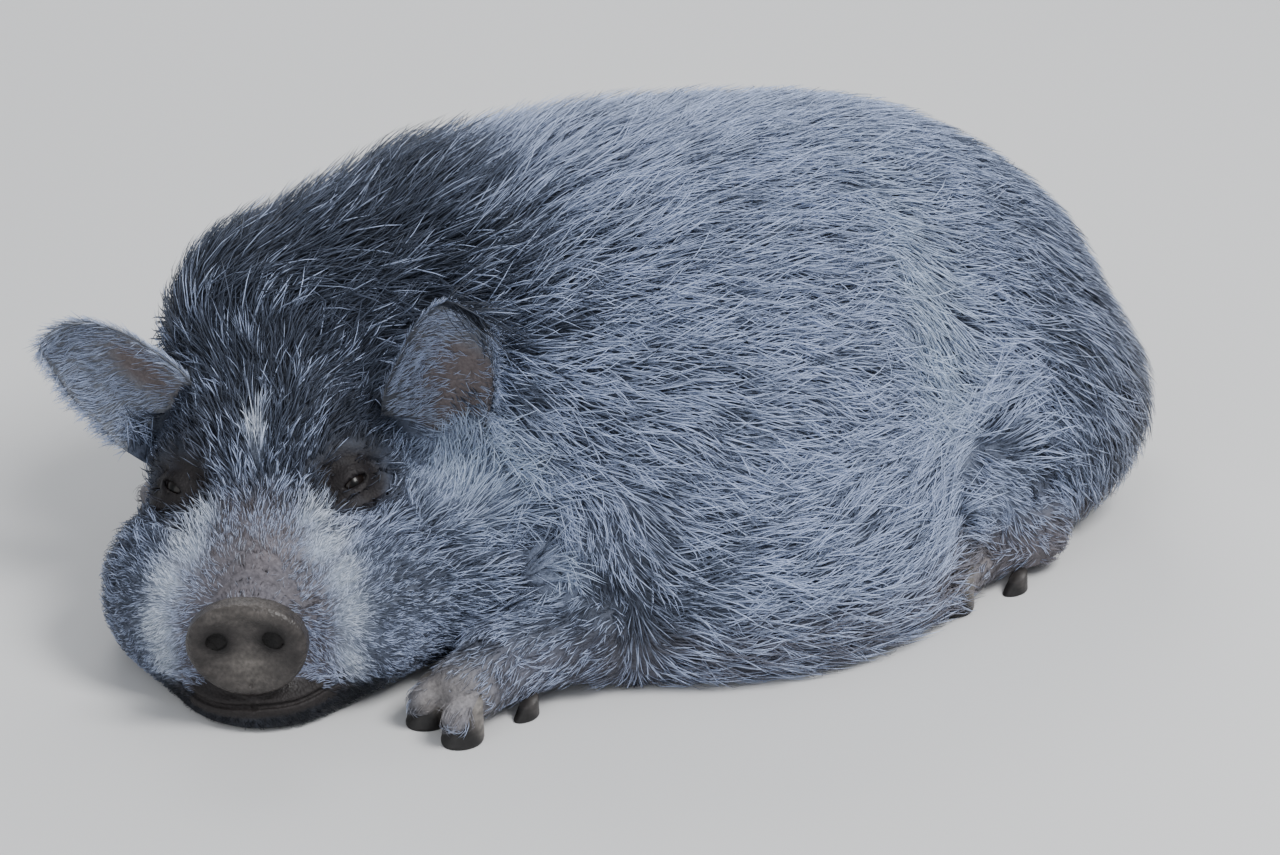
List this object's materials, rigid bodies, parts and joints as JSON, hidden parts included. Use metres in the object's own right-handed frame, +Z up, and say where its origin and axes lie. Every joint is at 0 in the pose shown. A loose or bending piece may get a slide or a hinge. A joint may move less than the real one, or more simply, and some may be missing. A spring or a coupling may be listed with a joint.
{
  "type": "vietnamese pot-bellied pig",
  "caption": "Life-size still model of a grey, bristly Vietnamese pot-bellied pig lying on its belly with its head turned to its left.",
  "frame": {"origin": "middle of the animal's bounding box, on the floor that it lies on", "axes": "+X towards the tail, so the trunk faces -X; +Y towards the animal's right side; +Z up"},
  "size_m": [0.7118, 0.4398, 0.2782],
  "materials": {
    "bristly_coat": "coarse grey bristles over dark skin",
    "leg_skin": "grey skin with sparse hair",
    "ear_skin": "thin grey-brown skin",
    "snout_skin": "bare, slightly moist skin",
    "eye": "wet gloss",
    "hoof_horn": "dull horn"
  },
  "bodies": {
    "root": {"torso": "bristly_coat", "neck": "bristly_coat", "head": "bristly_coat", "thigh_left": "bristly_coat", "thigh_right": "bristly_coat", "tail": "bristly_coat", "foreleg_left": "leg_skin", "foreleg_right": "leg_skin", "hindleg_left": "leg_skin", "hindleg_right": "leg_skin", "ear_left": "ear_skin", "ear_right": "ear_skin", "snout": "snout_skin", "eye_left": "eye", "eye_right": "eye", "hoof_foreleg_left_a": "hoof_horn", "dewclaw_foreleg_left_a": "hoof_horn", "hoof_foreleg_left_b": "hoof_horn", "dewclaw_foreleg_left_b": "hoof_horn", "hoof_foreleg_right_a": "hoof_horn", "dewclaw_foreleg_right_a": "hoof_horn", "hoof_foreleg_right_b": "hoof_horn", "dewclaw_foreleg_right_b": "hoof_horn", "hoof_hindleg_left_a": "hoof_horn", "dewclaw_hindleg_left_a": "hoof_horn", "hoof_hindleg_left_b": "hoof_horn", "dewclaw_hindleg_left_b": "hoof_horn", "hoof_hindleg_right_a": "hoof_horn", "dewclaw_hindleg_right_a": "hoof_horn", "hoof_hindleg_right_b": "hoof_horn", "dewclaw_hindleg_right_b": "hoof_horn"}
  },
  "joints": []
}
